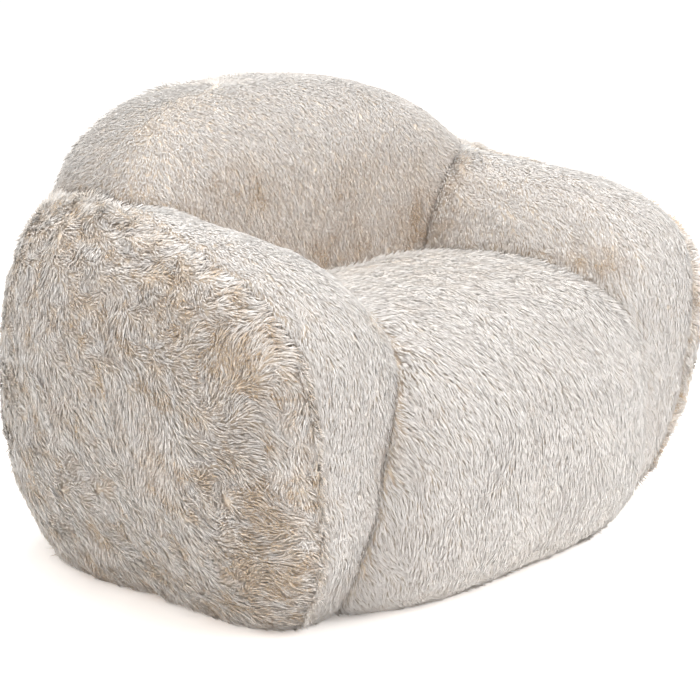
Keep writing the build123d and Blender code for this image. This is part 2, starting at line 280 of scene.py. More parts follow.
@dataclass(frozen=True)
class ArmForm:
    """An arm: a long bag, round in section, its rear end higher than its nose."""

    side: Side
    centre: tuple[float, float, float] = (0.386, 0.012, 0.356)
    half_width: float = 0.190
    half_length: float = 0.369
    rise: float = 0.233
    drop: float = 0.424
    crown_climb: float = 0.016
    rear_rise: float = 0.085
    splay: float = 0.020
    tuck: float = 0.013
    lean: float = 0.047
    rear_lean: float = -0.126
    profile_power: float = 3.0
    front_power: float = 3.8
    rear_power: float = 2.9
    section_power: float = 2.05

    def frame(self, reach: np.ndarray, inset: float) -> tuple[np.ndarray, ...]:
        """Gives the section's sizes at each reach.

        Args:
            reach: Places along the arm, −1 at the nose to 1 at the rear.
            inset: How far inside the outer surface.

        Returns:
            Crown height, drop, half width, sideways shift and lean of the section.
        """
        front, rear = np.maximum(-reach, 0), np.maximum(reach, 0)
        tall = taper(reach, self.profile_power)
        wide = np.where(
            reach < 0, taper(reach, self.front_power), taper(reach, self.rear_power)
        )
        crown = self.rise + self.crown_climb * reach + self.rear_rise * rear**2 - inset
        width = wide * (self.half_width - inset)
        shift = self.splay * front**2 - self.tuck * rear**2
        lean = self.lean + self.rear_lean * rear
        return tall * crown, tall * (self.drop - inset), width, shift, lean

    def surface(self, reach: np.ndarray, around: np.ndarray, inset: float) -> np.ndarray:
        """Gives points of the form.

        Args:
            reach: Places along the arm.
            around: Angles round the section.
            inset: How far inside the outer surface.

        Returns:
            One row a point.
        """
        crown, drop, width, shift, lean = self.frame(reach, inset)
        across, up = section(around, self.section_power)
        rise = np.where(up > 0, crown, drop) * up
        x = self.centre[0] + width * across + shift + lean * rise
        y = self.centre[1] + reach * (self.half_length - inset)
        return np.stack([self.side.value * x, y, self.centre[2] + rise], axis=1)

    def holds(self, points: np.ndarray, inset: float) -> np.ndarray:
        """Tells which points lie inside the form.

        Args:
            points: Places to test.
            inset: How far inside the outer surface the form is taken.

        Returns:
            True for each point inside.
        """
        reach = (points[:, 1] - self.centre[1]) / (self.half_length - inset)
        crown, drop, width, shift, lean = self.frame(np.clip(reach, -1, 1), inset)
        rise = points[:, 2] - self.centre[2]
        x = self.side.value * points[:, 0] - self.centre[0] - shift - lean * rise
        up = np.abs(rise) / np.maximum(np.where(rise > 0, crown, drop), THIN)
        across = np.abs(x) / np.maximum(width, THIN)
        return enclosed(reach, across, up, self.section_power)


@dataclass(frozen=True)
class SeatForm:
    """The seat: a deep, square-shouldered bag that runs down to the floor in front."""

    centre: tuple[float, float, float] = (0.0, -0.075, 0.191)
    half_width: float = 0.414
    half_length: float = 0.352
    rise: float = 0.271
    drop: float = 0.259
    fall: float = 0.033
    profile_power: float = 2.47
    plan_power: float = 3.0
    section_power: float = 3.77

    def frame(self, reach: np.ndarray, inset: float) -> tuple[np.ndarray, ...]:
        """Gives crown height, drop and half width of the section at each reach."""
        tall, wide = taper(reach, self.profile_power), taper(reach, self.plan_power)
        crown = self.rise - self.fall * reach - inset
        return tall * crown, tall * (self.drop - inset), wide * (self.half_width - inset)

    def surface(self, reach: np.ndarray, around: np.ndarray, inset: float) -> np.ndarray:
        """Gives points of the form, as ArmForm.surface does."""
        crown, drop, width = self.frame(reach, inset)
        across, up = section(around, self.section_power)
        rise = np.where(up > 0, crown, drop) * up
        y = self.centre[1] + reach * (self.half_length - inset)
        return np.stack([width * across, y, self.centre[2] + rise], axis=1)

    def holds(self, points: np.ndarray, inset: float) -> np.ndarray:
        """Tells which points lie inside the form, as ArmForm.holds does."""
        reach = (points[:, 1] - self.centre[1]) / (self.half_length - inset)
        crown, drop, width = self.frame(np.clip(reach, -1, 1), inset)
        rise = points[:, 2] - self.centre[2]
        up = np.abs(rise) / np.maximum(np.where(rise > 0, crown, drop), THIN)
        across = np.abs(points[:, 0]) / np.maximum(width, THIN)
        return enclosed(reach, across, up, self.section_power)


@dataclass(frozen=True)
class BackForm:
    """The back: a broad round bag whose ends wrap forward behind the arms."""

    centre: tuple[float, float, float] = (0.0, 0.288, 0.290)
    half_width: float = 0.490
    half_depth: float = 0.243
    rise: float = 0.456
    drop: float = 0.370
    wrap: float = 0.118
    outline_power: float = 2.75
    plan_power: float = 2.33
    section_power: float = 2.79

    def surface(self, reach: np.ndarray, around: np.ndarray, inset: float) -> np.ndarray:
        """Gives points of the form; reach runs from left to right."""
        tall, deep = taper(reach, self.outline_power), taper(reach, self.plan_power)
        across, up = section(around, self.section_power)
        x = reach * (self.half_width - inset)
        y = self.centre[1] - deep * across * (self.half_depth - inset) - self.wrap * reach**2
        z = self.centre[2] + tall * up * (np.where(up > 0, self.rise, self.drop) - inset)
        return np.stack([x, y, z], axis=1)

    def holds(self, points: np.ndarray, inset: float) -> np.ndarray:
        """Tells which points lie inside the form, as ArmForm.holds does."""
        reach = points[:, 0] / (self.half_width - inset)
        inner = np.clip(reach, -1, 1)
        tall, deep = taper(inner, self.outline_power), taper(inner, self.plan_power)
        rise = points[:, 2] - self.centre[2]
        height = np.where(rise > 0, self.rise, self.drop) - inset
        up = np.abs(rise) / np.maximum(tall * height, THIN)
        y = points[:, 1] - self.centre[1] + self.wrap * inner**2
        across = np.abs(y) / np.maximum(deep * (self.half_depth - inset), THIN)
        return enclosed(reach, across, up, self.section_power)


Form = ArmForm | SeatForm | BackForm


@dataclass(frozen=True)
class SideSeam:
    """The seam between an arm's outer side and its band, an arc in plan that leans outwards."""

    side: Side
    front: tuple[float, float] = (0.420, -0.450)
    middle: tuple[float, float] = (0.355, 0.0)
    rear: tuple[float, float] = (0.191, 0.400)
    lean: float = 0.15
    depth: float = 4.5 * MM
    width: float = 9 * MM

    def place(self, points: np.ndarray) -> np.ndarray:
        """Gives the seam surface's distance from the chair's middle, beside each point.

        Args:
            points: Places, of which y and z are used.

        Returns:
            Distances along x, always positive.
        """
        (xa, ya), (xb, yb), (xc, yc) = self.front, self.middle, self.rear
        square = np.array([[2 * (xb - xa), 2 * (yb - ya)], [2 * (xc - xa), 2 * (yc - ya)]])
        sums = np.array([xb**2 + yb**2 - xa**2 - ya**2, xc**2 + yc**2 - xa**2 - ya**2])
        cx, cy = np.linalg.solve(square, sums)
        radius = math.hypot(xa - cx, ya - cy)
        bow = np.sqrt(np.maximum(radius**2 - (points[:, 1] - cy) ** 2, 0))
        return cx + bow * np.sign(xb - cx) + self.lean * points[:, 2]

    def off(self, points: np.ndarray) -> np.ndarray:
        """Gives how far outside the seam surface each point is, along x."""
        return self.side.value * points[:, 0] - self.place(points)


# ---------------------------------------------------------------- meshes


def new_object(name: str, mesh: bpy.types.Mesh) -> bpy.types.Object:
    """Puts a mesh in the scene under a name."""
    made = bpy.data.objects.new(name, mesh)
    bpy.context.scene.collection.objects.link(made)
    return made


def mesh_from(name: str, points: np.ndarray, faces: list[tuple[int, ...]]) -> bpy.types.Mesh:
    """Makes a smooth-shaded mesh.

    Args:
        name: The mesh's name.
        points: Its vertices, one row each.
        faces: Its faces by vertex number.

    Returns:
        The new mesh.
    """
    mesh = bpy.data.meshes.new(name)
    mesh.from_pydata(points.tolist(), [], faces)
    mesh.shade_smooth()
    mesh.update()
    return mesh


@dataclass
class ClosedGrid:
    """Rows of points from pole to pole round a form, and the faces between them."""

    rows: int
    columns: int

    def places(self) -> tuple[np.ndarray, np.ndarray]:
        """Gives reach and angle of every point: first pole, rows, last pole."""
        slant = np.linspace(-math.pi / 2, math.pi / 2, self.rows + 2)
        reach = curved(slant, POLE_POWER) * np.sin(slant)
        inner = np.repeat(reach[1:-1], self.columns)
        angle = np.tile(np.arange(self.columns) * 2 * math.pi / self.columns, self.rows)
        return np.concatenate([[-1.0], inner, [1.0]]), np.concatenate([[0.0], angle, [0.0]])

    def faces(self) -> list[tuple[int, ...]]:
        """Gives the quads between rows and the triangles at both poles."""
        made: list[tuple[int, ...]] = []
        last = 1 + self.rows * self.columns
        for column in range(self.columns):
            beside = (column + 1) % self.columns
            made.append((0, 1 + beside, 1 + column))
            for row in range(self.rows - 1):
                low = 1 + row * self.columns
                high = low + self.columns
                made.append((low + column, low + beside, high + beside, high + column))
            low = 1 + (self.rows - 1) * self.columns
            made.append((low + column, low + beside, last))
        return made

    def unrolled(self) -> np.ndarray:
        """Gives each corner's place on the flat map, row by row of the faces."""
        corners: list[tuple[float, float]] = []
        for column in range(self.columns):
            left, right = column / self.columns, (column + 1) / self.columns
            middle, step = (left + right) / 2, 1 / (self.rows + 1)
            corners += [(middle, 0.0), (right, step), (left, step)]
            for row in range(self.rows - 1):
                low, high = (row + 1) * step, (row + 2) * step
                corners += [(left, low), (right, low), (right, high), (left, high)]
            corners += [(left, 1 - step), (right, 1 - step), (middle, 1.0)]
        return np.array(corners)


def facing_out(mesh: bpy.types.Mesh) -> None:
    """Turns a closed mesh's faces outwards where its volume reads negative."""
    co = np.zeros(len(mesh.vertices) * 3)
    mesh.vertices.foreach_get("co", co)
    mesh.calc_loop_triangles()
    triangles = np.zeros(len(mesh.loop_triangles) * 3, np.int32)
    mesh.loop_triangles.foreach_get("vertices", triangles)
    a, b, c = (co.reshape(-1, 3)[triangles.reshape(-1, 3)[:, k]] for k in range(3))
    if np.sum(a * np.cross(b, c)) < 0:
        mesh.flip_normals()


def outward(mesh: bpy.types.Mesh) -> np.ndarray:
    """Gives a mesh's vertex normals, one row each."""
    flat = np.zeros(len(mesh.vertices) * 3, np.float32)
    mesh.vertex_normals.foreach_get("vector", flat)
    return flat.reshape(-1, 3).astype(float)


def reshape(mesh: bpy.types.Mesh, points: np.ndarray) -> None:
    """Moves a mesh's vertices to new places."""
    mesh.vertices.foreach_set("co", points.astype(np.float32).ravel())
    mesh.update()


def unroll(mesh: bpy.types.Mesh, flat: np.ndarray) -> None:
    """Gives a mesh its flat map, corner by corner."""
    mesh.uv_layers.new(name="OFBake").uv.foreach_set("vector", flat.astype(np.float32).ravel())


# ---------------------------------------------------------------- the node helpers


def feed(tree: Tree, node: bpy.types.Node, links: Sockets) -> None:
    """Feeds a node's inputs.

    Args:
        tree: The node's tree.
        node: The node.
        links: Its inputs by name or number, each a value or the socket that feeds it.
    """
    for key, value in links.items():
        socket = node.inputs[key]
        if isinstance(value, bpy.types.NodeSocket):
            tree.links.new(value, socket)
        else:
            socket.default_value = value


def add_node(
    tree: Tree, kind: str, links: Sockets | None = None, **settings: object
) -> bpy.types.Node:
    """Adds a node.

    Args:
        tree: The tree that gets the node.
        kind: The node's type name.
        links: Its inputs, as feed takes them.
        **settings: Properties to set on it.

    Returns:
        The new node.
    """
    node = tree.nodes.new(kind)
    for key, value in settings.items():
        setattr(node, key, value)
    feed(tree, node, links or {})
    return node


def reckoned(tree: Tree, operation: str, *values: object, clamp: bool = False) -> Socket:
    """Works out single values by one operation."""
    settings = {"operation": operation, "use_clamp": clamp}
    return add_node(tree, "ShaderNodeMath", dict(enumerate(values)), **settings).outputs[0]


def vector_reckoned(tree: Tree, operation: str, *values: object) -> Socket:
    """Works out vectors by one operation."""
    links = dict(enumerate(values))
    return add_node(tree, "ShaderNodeVectorMath", links, operation=operation).outputs[0]


def stretched(
    tree: Tree, value: Socket, source: tuple[float, float], target: tuple[float, float],
    **settings: object,
) -> Socket:
    """Maps a source range of values to a target range, and keeps what lies outside at its ends."""
    links = {0: value, 1: source[0], 2: source[1], 3: target[0], 4: target[1]}
    return add_node(tree, "ShaderNodeMapRange", links, **settings).outputs[0]


def blended(tree: Tree, share: object, first: object, second: object, **settings: str) -> Socket:
    """Blends two colours, by how much of the second is wanted."""
    links = {0: share, 6: first, 7: second}
    return add_node(tree, "ShaderNodeMix", links, data_type="RGBA", **settings).outputs[2]


def place_on(tree: Tree) -> Socket:
    """Gives the place on the object, in metres."""
    return add_node(tree, "ShaderNodeTexCoord").outputs["Object"]


def clouded(tree: Tree, size: float, detail: float) -> Socket:
    """Gives cloudy noise over the object, of a size in metres."""
    links = {"Vector": place_on(tree), "Scale": 1 / size, "Detail": detail}
    return add_node(tree, "ShaderNodeTexNoise", links).outputs[0]


def waved(tree: Tree, place: Socket, length: float) -> Socket:
    """Gives a sine along a place, which turns once in each length."""
    return reckoned(tree, "SINE", reckoned(tree, "MULTIPLY", place, 2 * math.pi / length))


def embossed(tree: Tree, height: Socket, strength: float, depth: float) -> Socket:
    """Gives the normal of a surface that carries a height pattern."""
    links = {"Height": height, "Strength": strength, "Distance": depth}
    return add_node(tree, "ShaderNodeBump", links).outputs[0]


def linear(code: str) -> tuple[float, float, float, float]:
    """Turns an sRGB hex colour into linear values.

    Args:
        code: Six hex digits.

    Returns:
        Red, green, blue and an alpha of one.
    """
    parts = [int(code[k : k + 2], 16) / 255 for k in (0, 2, 4)]
    r, g, b = (c / 12.92 if c <= 0.04045 else ((c + 0.055) / 1.055) ** 2.4 for c in parts)
    return r, g, b, 1.0


def new_material(name: str) -> tuple[bpy.types.Material, Tree, bpy.types.Node]:
    """Starts a material and gives it with its tree and its shader."""
    material = bpy.data.materials.new(name)
    material.use_nodes = True
    return material, material.node_tree, material.node_tree.nodes["Principled BSDF"]


# ---------------------------------------------------------------- finishes


@dataclass(frozen=True)
class PlushPile:
    """Polyester faux fur, knitted pile sheared and combed: matt, with a soft light rim.

    The tips are cream and the roots tan, so the coat darkens wherever it parts. The same tan is
    also painted into the tips as shade: in the dips between clumps, in some creases and a swirl,
    and over the arms' shaded outer sides.
    """

    tip: str = "FEF6EE"
    shade: str = "F7ECE2"
    root: str = "E2D2BF"
    undercoat: str = "C6A27E"
    rim: str = "FFF8EE"
    roughness: float = 0.88
    strand: float = 3.5 * MM
    glow: float = 9.0 * MM
    glow_share: float = 0.7
    glow_spread: tuple[float, float, float] = (1.0, 0.93, 0.86)

    def make(self) -> bpy.types.Material:
        """Builds the material from the pile's own attributes."""
        material, tree, shader = new_material("plush_faux_fur")
        along, undercoat_and_shade_share = (
            add_node(tree, "ShaderNodeAttribute", attribute_name=name).outputs["Fac"]
            for name in ("along", "undercoat")
        )
        mottle = clouded(tree, 8 * self.strand, 4.0)
        strands = clouded(tree, self.strand, 3.0)
        cream = blended(tree, mottle, linear(self.shade), linear(self.tip))
        streaked = stretched(tree, strands, (0.34, 0.66), (1.6, 0.4))
        # tan mixed into the tips: the roots' own tan, and painted shade in the dips, creases and a
        # swirl
        shown = reckoned(tree, "MULTIPLY", undercoat_and_shade_share, streaked, clamp=True)
        tip = blended(tree, shown, cream, linear(self.undercoat))
        smooth = {"interpolation_type": "SMOOTHSTEP"}
        rise = stretched(tree, along, (0.0, 0.62), (0.0, 1.0), **smooth)
        coat = blended(tree, rise, linear(self.root), tip)
        dark = stretched(tree, strands, (0.3, 0.7), (0.95, 1.0))
        looks = {
            "Base Color": blended(tree, 1.0, coat, dark, blend_type="MULTIPLY"),
            "Roughness": self.roughness,
            "Specular IOR Level": 0.25,
            "Subsurface Weight": self.glow_share,
            "Subsurface Radius": self.glow_spread,
            "Subsurface Scale": self.glow,
            "Sheen Weight": 0.35,
            "Sheen Roughness": 0.5,
            "Sheen Tint": linear(self.rim),
        }
        feed(tree, shader, looks)
        return material


@dataclass(frozen=True)
class DottedCanvas:
    """Woven polyester canvas with printed rubber grip dots, for the base.

    The weave gives it a fine grain and the dots stand out a little glossier.
    """

    cloth: str = "8C8378"
    dot: str = "4A453F"
    thread: float = 0.9 * MM
    dot_pitch: float = 7.0 * MM
    dot_radius: float = 1.6 * MM
    relief: float = 0.2 * MM

    def make(self) -> bpy.types.Material:
        """Builds the canvas from its thread and dot spacing."""
        material, tree, shader = new_material("grip_dot_canvas")
        x, y, _ = add_node(tree, "ShaderNodeSeparateXYZ", {0: place_on(tree)}).outputs
        weave = reckoned(
            tree, "MULTIPLY", waved(tree, x, self.thread), waved(tree, y, self.thread)
        )
        off_x, off_y = (
            reckoned(tree, "POWER", reckoned(tree, "PINGPONG", way, self.dot_pitch / 2), 2.0)
            for way in (x, y)
        )
        apart = reckoned(tree, "ADD", off_x, off_y)
        spot = reckoned(tree, "LESS_THAN", apart, self.dot_radius**2)
        grain = stretched(tree, weave, (-1.0, 1.0), (0.78, 1.0))
        cloth = blended(tree, 1.0, linear(self.cloth), grain, blend_type="MULTIPLY")
        height = reckoned(tree, "MULTIPLY_ADD", spot, 2.0, weave)
        looks = {
            "Base Color": blended(tree, spot, cloth, linear(self.dot)),
            "Normal": embossed(tree, height, 0.4, self.relief),
            "Roughness": stretched(tree, spot, (0.0, 1.0), (0.9, 0.5)),
        }
        feed(tree, shader, looks)
        return material


@dataclass(frozen=True)
class WovenCloth:
    """Plain or herringbone woven polyester: a fine regular grain, quite matt."""

    name: str
    colour: str
    shade: str
    thread: float
    chevron: float = 0.0
    roughness: float = 0.85
    relief: float = 0.15 * MM

    def make(self) -> bpy.types.Material:
        """Builds the weave; a chevron width above zero makes it herringbone."""
        material, tree, shader = new_material(self.name)
        x, y, z = add_node(tree, "ShaderNodeSeparateXYZ", {0: place_on(tree)}).outputs
        slant = reckoned(tree, "PINGPONG", y, self.chevron) if self.chevron else y
        threads = (waved(tree, reckoned(tree, "ADD", way, slant), self.thread) for way in (x, z))
        weave = reckoned(tree, "ADD", *threads)
        grain = stretched(tree, weave, (-2.0, 2.0), (0.0, 1.0))
        looks = {
            "Base Color": blended(tree, grain, linear(self.shade), linear(self.colour)),
            "Normal": embossed(tree, weave, 0.35, self.relief),
            "Roughness": self.roughness,
            "Sheen Weight": 0.15,
        }
        feed(tree, shader, looks)
        return material


@dataclass(frozen=True)
class MouldedAcetal:
    """Injection-moulded acetal for the zip's teeth: smooth, slightly waxy."""

    colour: str = "E9E2D6"
    shade: str = "D8CFBF"
    flow_size: float = 2 * MM

    def make(self) -> bpy.types.Material:
        """Builds the plastic with its faint flow marks."""
        material, tree, shader = new_material("moulded_acetal")
        flow = clouded(tree, self.flow_size, 2.0)
        looks = {
            "Base Color": blended(tree, flow, linear(self.shade), linear(self.colour)),
            "Roughness": stretched(tree, flow, (0.0, 1.0), (0.3, 0.45)),
            "IOR": 1.48,
        }
        feed(tree, shader, looks)
        return material


@dataclass(frozen=True)
class PlatedZinc:
    """Die-cast zinc, barrel-polished and nickel plated: bright, with fine tumbling marks."""

    colour: str = "C9C5BD"
    worn: str = "A39D92"
    patch: float = 4 * MM
    relief: float = 0.05 * MM

    def make(self) -> bpy.types.Material:
        """Builds the plating with its rubbed patches."""
        material, tree, shader = new_material("nickel_plated_zinc")
        rubbed = clouded(tree, self.patch, 6.0)
        looks = {
            "Base Color": blended(tree, rubbed, linear(self.worn), linear(self.colour)),
            "Roughness": stretched(tree, rubbed, (0.0, 1.0), (0.18, 0.38)),
            "Normal": embossed(tree, rubbed, 0.1, self.relief),
            "Metallic": 1.0,
        }
        feed(tree, shader, looks)
        return material


@dataclass(frozen=True)
class StudioPaper:
    """Matt white background paper, lit evenly by a faint light of its own."""

    colour: str = "FBFBFB"
    light: str = "FFFFFF"
    glow: float = 0.13

    def make(self) -> bpy.types.Material:
        """Builds the paper."""
        material, tree, shader = new_material("studio_paper")
        looks = {
            "Base Color": linear(self.colour),
            "Roughness": 0.95,
            "Specular IOR Level": 0.0,
            "Emission Color": linear(self.light),
            "Emission Strength": self.glow,
        }
        feed(tree, shader, looks)
        return material


# ---------------------------------------------------------------- the pile


@dataclass(frozen=True)
class Whorl:
    """A place where the combing turns round a point, as a cowlick does."""

    centre: tuple[float, float, float]
    radius: float
    turn: float


@dataclass(frozen=True)
class PartingAndShade:
    """A patch where more tan shows: where the coat parts its tan roots show, and in the creases
    between back and arms and in the near side's swirl it is also painted shade.
    """

    centre: tuple[float, float, float]
    size: tuple[float, float, float]
    strength: float


@dataclass(frozen=True)
class Combing:
    """How one panel's pile lies."""

    way: tuple[float, float, float]
    lift: float = 0.42
    length: float = 1.0
    unruly: float = 0.5
    clump: float = 0.5
    whorls: tuple[Whorl, ...] = ()
    tan_patches: tuple[PartingAndShade, ...] = ()
    grain: float = 0.0

    def drawn_out(self, points: np.ndarray, normals: np.ndarray) -> np.ndarray:
        """Squeezes places along the combing, so that a pattern read there is drawn out along it.

        Args:
            points: Places on the backing.
            normals: Its outward directions there.

        Returns:
            The places to read the pattern at.
        """
        flat = laid_flat(np.broadcast_to(np.array(self.way), points.shape), normals)
        way = unit(flat.mean(axis=0, keepdims=True))
        return points - DRAWN_OUT * (points @ way.T) * way

    def directions(
        self, points: np.ndarray, normals: np.ndarray, crowded: np.ndarray, seed: int
    ) -> np.ndarray:
        """Gives the way the pile points at each place.

        Args:
            points: Places on the backing.
            normals: Its outward directions there.
            crowded: How near a crease each place is, 0 to 1; the pile stands up there.
            seed: Which random pattern.

        Returns:
            Unit directions, leaning out of the surface by the lift.
        """
        flat = laid_flat(np.broadcast_to(np.array(self.way), points.shape), normals)
        side = np.cross(normals, flat)
        angle = self.unruly * layered(points, WANDERING, seed)
        for whorl in self.whorls:
            away = np.linalg.norm(points - np.array(whorl.centre), axis=1)
            angle = angle + whorl.turn * beside(away, whorl.radius)
        turned = flat * np.cos(angle)[:, None] + side * np.sin(angle)[:, None]
        fall = sum(share * downhill(points, normals, size, seed + k) for share, size, k in GATHERS)
        gathered = unit(turned + self.clump * fall)
        lift = self.lift * (1 + layered(points, LIFTS, seed)) + CROWDED_LIFT * crowded
        return unit(gathered * np.cos(lift)[:, None] + normals * np.sin(lift)[:, None])

    def undercoat(self, points: np.ndarray, dips: np.ndarray, seed: int) -> np.ndarray:
        """Gives how much tan shows at each place: the roots' own tan, and painted shade in the
        dips between clumps, in some creases and in a swirl.

        Args:
            points: Places on the backing.
            dips: How low each place is between the coat's clumps, 0 to 1; more tan goes there,
                partly roots showing and partly painted shade.
            seed: Which random pattern.

        Returns:
            Shares from 0 to 1.
        """
        # the extra tan in the dips is partly roots showing and partly painted shade between the
        # clumps
        everywhere, in_dips_roots_and_shade = UNDERCOAT_AND_SHADE_SHARES
        shown = self.grain * (everywhere + in_dips_roots_and_shade * dips)
        for tan_patch in self.tan_patches:
            away = (points - np.array(tan_patch.centre)) / np.array(tan_patch.size)
            shown = shown + tan_patch.strength * np.exp(-np.sum(away**2, axis=1))
        streaks = STREAK_BASE + layered(points, STREAKS, seed)
        size, limit, step = FLECKS
        flecks = np.maximum(soft_noise(points, size, seed + step) - limit, 0)
        return np.clip(shown * np.maximum(streaks, 0) + flecks, 0, 1)


@dataclass(frozen=True)
class LockShapes:
    """The few lock shapes that the pile repeats: thin closed blades, each curved its own way."""

    length: float = 20 * MM
    width: float = 2.2 * MM
    thickness: float = 1.2 * MM
    belly: float = 0.42
    tip_curl: tuple[float, float] = (0.2, 0.3)
    bends: tuple[tuple[float, float], ...] = (
        (0.05, 0.05),
        (-0.06, 0.03),
        (0.09, 0.06),
        (-0.03, 0.02),
        (0.02, 0.08),
    )

    def build(self) -> bpy.types.Collection:
        """Makes one object a shape, in a collection that stays out of the scene."""
        kept = bpy.data.collections.new("lock_shapes")
        tall = (0.0, self.belly, self.belly, 1.0)
        back, down = self.tip_curl
        for number, (sideways, droop) in enumerate(self.bends):
            middle = sideways * self.length / 2
            high = self.thickness / 2 + droop * self.length
            points = [
                (0.0, 0.0, 0.0),
                (middle - self.width / 2, high, self.belly * self.length),
                (middle + self.width / 2, high, self.belly * self.length),
                (-sideways * self.length * back, -droop * self.length * down, self.length),
            ]
            faces = [(0, 1, 2), (1, 3, 2), (0, 3, 1), (0, 2, 3)]
            mesh = mesh_from(f"lock_{number}", np.array(points), faces)
            facing_out(mesh)
            along = mesh.attributes.new("along", "FLOAT", "POINT")
            along.data.foreach_set("value", np.array(tall, np.float32))
            corners = []
            for face in mesh.polygons:
                top = face.index < 2
                lean = (0.25, 0.0, 0.5, 0.25) if top else (0.75, 0.5, 1.0, 0.75)
                for vertex in face.vertices:
                    corners += [lean[vertex], tall[vertex]]
            unroll(mesh, np.array(corners))
            kept.objects.link(bpy.data.objects.new(f"lock_{number}", mesh))
        return kept


@dataclass
class PileTree:
    """The Geometry Nodes tree that grows the pile on a panel's backing."""

    shapes: bpy.types.Collection
    coat: bpy.types.Material
    strip: float = 0.25
    tree: bpy.types.GeometryNodeTree = field(init=False)

    def __post_init__(self) -> None:
        """Builds the tree."""
        tree = self.tree = bpy.data.node_groups.new("combed_pile", "GeometryNodeTree")
        sides = tree.interface
        sides.new_socket("Backing", in_out="INPUT", socket_type="NodeSocketGeometry")
        for name, kind, value in (
            ("Locks per square metre", "NodeSocketFloat", 60000.0),
            ("Length scale", "NodeSocketFloat", 1.0),
            ("Stray", "NodeSocketFloat", 0.2),
            ("Softness", "NodeSocketFloat", 0.7),
            ("Atlas cells", "NodeSocketFloat", 200.0),
            ("Seed", "NodeSocketInt", 1),
        ):
            sides.new_socket(name, in_out="INPUT", socket_type=kind).default_value = value
        sides.new_socket("Panel", in_out="OUTPUT", socket_type="NodeSocketGeometry")
        given = add_node(tree, "NodeGroupInput")
        pile = self.off_floor(self.mapped(self.placed(given), given))
        joined = add_node(tree, "GeometryNodeJoinGeometry", {0: given.outputs["Backing"]})
        tree.links.new(pile, joined.inputs[0])
        panel = add_node(tree, "GeometryNodeRealizeInstances", {0: joined.outputs[0]})
        soft = self.softened(panel.outputs[0], given)
        coat = {"Geometry": soft, "Material": self.coat}
        dressed = add_node(tree, "GeometryNodeSetMaterial", coat)
        add_node(tree, "NodeGroupOutput", {0: dressed.outputs[0]})

    def named(self, name: str, kind: str = "FLOAT_VECTOR") -> Socket:
        """Reads an attribute."""
        read = "GeometryNodeInputNamedAttribute"
        return add_node(self.tree, read, {"Name": name}, data_type=kind).outputs["Attribute"]

    def stored(self, name: str, kind: str, domain: str, geometry: Socket, value: Socket) -> Socket:
        """Writes an attribute and gives the geometry that carries it."""
        links = {"Geometry": geometry, "Name": name, "Value": value}
        write = "GeometryNodeStoreNamedAttribute"
        return add_node(self.tree, write, links, data_type=kind, domain=domain).outputs[0]

    def chance(self, low: float, high: float, seed: int) -> Socket:
        """Gives each lock a random value."""
        links = {2: low, 3: high, "Seed": seed}
        return add_node(self.tree, "FunctionNodeRandomValue", links, data_type="FLOAT").outputs[1]

    def placed(self, given: bpy.types.Node) -> Socket:
        """Stands the locks on the backing.

        Args:
            given: The tree's inputs.

        Returns:
            The locks, each with its cell on the flat map.
        """
        tree, inputs = self.tree, given.outputs
        cover = self.named("cover", "FLOAT")
        thick = reckoned(tree, "MULTIPLY", cover, inputs["Locks per square metre"])
        ground = {"Mesh": inputs["Backing"], "Density": thick, "Seed": inputs["Seed"]}
        spread = add_node(
            tree, "GeometryNodeDistributePointsOnFaces", ground, distribute_method="RANDOM"
        )
        ways = {0: (-1.0, -1.0, -1.0), 1: (1.0, 1.0, 1.0), "Seed": inputs["Seed"]}
        stray = add_node(tree, "FunctionNodeRandomValue", ways, data_type="FLOAT_VECTOR")
        tousled = vector_reckoned(
            tree, "MULTIPLY_ADD", stray.outputs[0], inputs["Stray"], self.named("lie")
        )
        turned = add_node(
            tree,
            "FunctionNodeAxesToRotation",
            {0: tousled, 1: spread.outputs["Normal"]},
            primary_axis="Z",
            secondary_axis="Y",
        )
        tall = reckoned(tree, "MULTIPLY", self.chance(*LOCK_LENGTHS), inputs["Length scale"])
        wide = self.chance(*LOCK_WIDTHS)
        size = add_node(tree, "ShaderNodeCombineXYZ", {0: wide, 1: tall, 2: tall})
        number = add_node(tree, "GeometryNodeInputIndex").outputs[0]
        column = reckoned(tree, "MODULO", number, inputs["Atlas cells"])
        row = reckoned(tree, "FLOOR", reckoned(tree, "DIVIDE", number, inputs["Atlas cells"]))
        cell = add_node(tree, "ShaderNodeCombineXYZ", {0: column, 1: row}).outputs[0]
        marked = self.stored("cell", "FLOAT_VECTOR", "POINT", spread.outputs["Points"], cell)
        source = {"Collection": self.shapes, "Separate Children": True, "Reset Children": True}
        shapes = add_node(tree, "GeometryNodeCollectionInfo", source)
        links = {
            "Points": marked,
            "Instance": shapes.outputs[0],
            "Pick Instance": True,
            "Rotation": turned.outputs[0],
            "Scale": size.outputs[0],
        }
        stood = add_node(tree, "GeometryNodeInstanceOnPoints", links)
        return add_node(tree, "GeometryNodeRealizeInstances", {0: stood.outputs[0]}).outputs[0]

    def mapped(self, locks: Socket, given: bpy.types.Node) -> Socket:
        """Gives every lock a cell of its own on the flat map, above the backing's strip."""
        tree, cells = self.tree, given.outputs["Atlas cells"]
        shrunk = vector_reckoned(
            tree, "MULTIPLY_ADD", self.named("OFBake"), CELL_FILL, self.named("cell")
        )
        part = {0: shrunk, "Scale": reckoned(tree, "DIVIDE", 1.0, cells)}
        fitted = add_node(tree, "ShaderNodeVectorMath", part, operation="SCALE").outputs[0]
        room, start = (1.0, 1 - self.strip, 0.0), (0.0, self.strip, 0.0)
        raised = vector_reckoned(tree, "MULTIPLY_ADD", fitted, room, start)
        return self.stored("OFBake", "FLOAT2", "CORNER", locks, raised)

